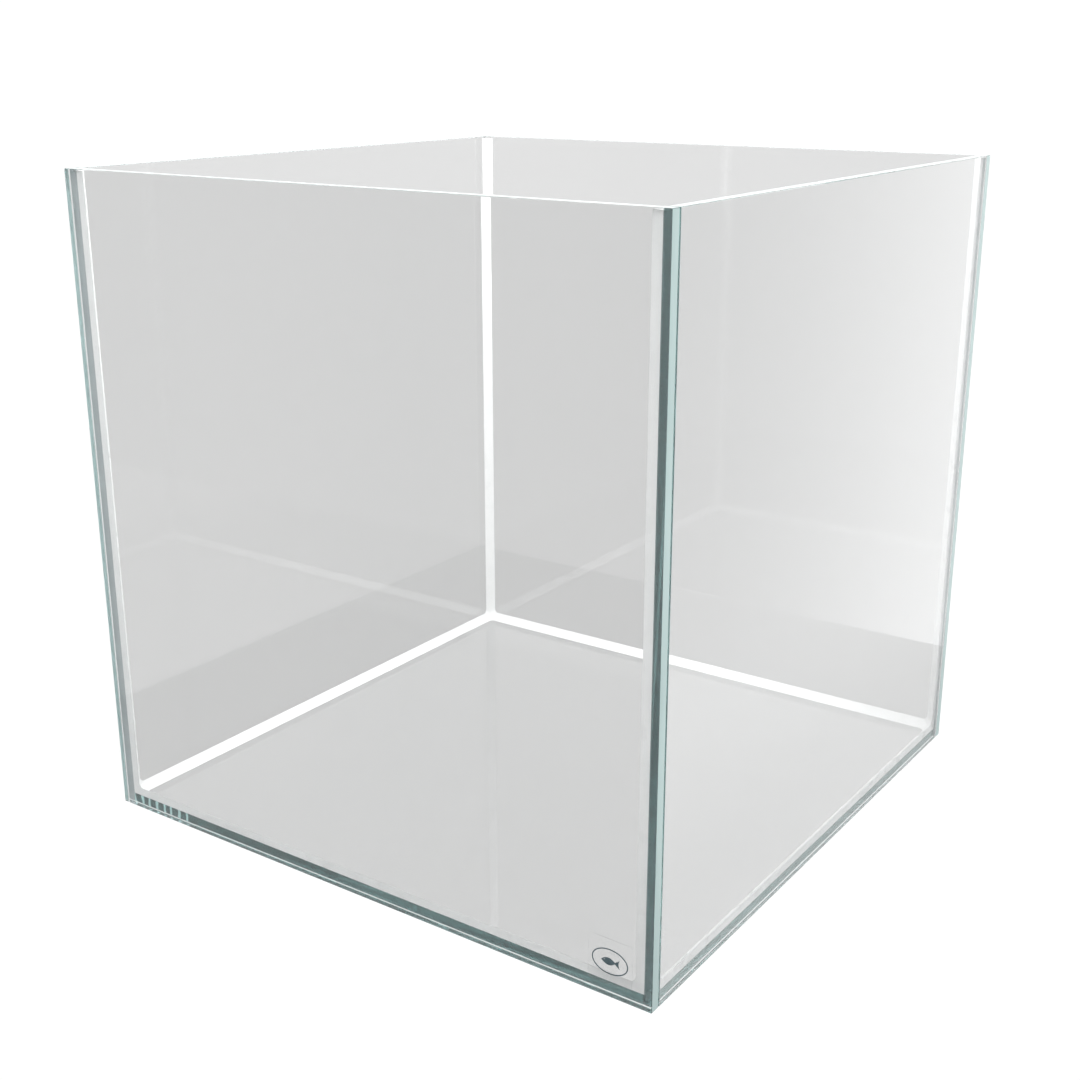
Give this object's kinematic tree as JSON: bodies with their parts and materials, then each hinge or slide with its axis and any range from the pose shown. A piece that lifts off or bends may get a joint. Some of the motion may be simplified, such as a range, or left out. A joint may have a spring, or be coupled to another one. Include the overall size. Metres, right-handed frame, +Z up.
{
  "type": "aquarium",
  "caption": "Rimless open-top cube aquarium of clear glass, bonded and sealed inside with silicone, free-standing on its flat base.",
  "frame": {"origin": "middle of the footprint, on the surface the tank stands on", "axes": "+Z up, -Y out of the front pane, which carries the maker's label, +X to the right seen from the front"},
  "size_m": [0.3, 0.3002, 0.302],
  "materials": {
    "clear_glass": "low-iron float glass with polished edges, faint cyan seen edge-on",
    "bond_silicone": "clear structural silicone, thin and glossy",
    "seal_silicone": "translucent white silicone, tooled smooth",
    "clear_film": "clear glossy label film",
    "label_ink": "dark grey printed ink"
  },
  "bodies": {
    "root": {"front_pane": "clear_glass", "back_pane": "clear_glass", "left_pane": "clear_glass", "right_pane": "clear_glass", "base_pane": "clear_glass", "front_left_bond": "bond_silicone", "front_right_bond": "bond_silicone", "back_left_bond": "bond_silicone", "back_right_bond": "bond_silicone", "front_base_bond": "bond_silicone", "back_base_bond": "bond_silicone", "left_base_bond": "bond_silicone", "right_base_bond": "bond_silicone", "front_base_seal": "seal_silicone", "back_base_seal": "seal_silicone", "left_base_seal": "seal_silicone", "right_base_seal": "seal_silicone", "front_left_seal": "seal_silicone", "front_right_seal": "seal_silicone", "back_left_seal": "seal_silicone", "back_right_seal": "seal_silicone", "label_film": "clear_film", "label_ring": "label_ink", "label_fish": "label_ink"}
  },
  "joints": []
}
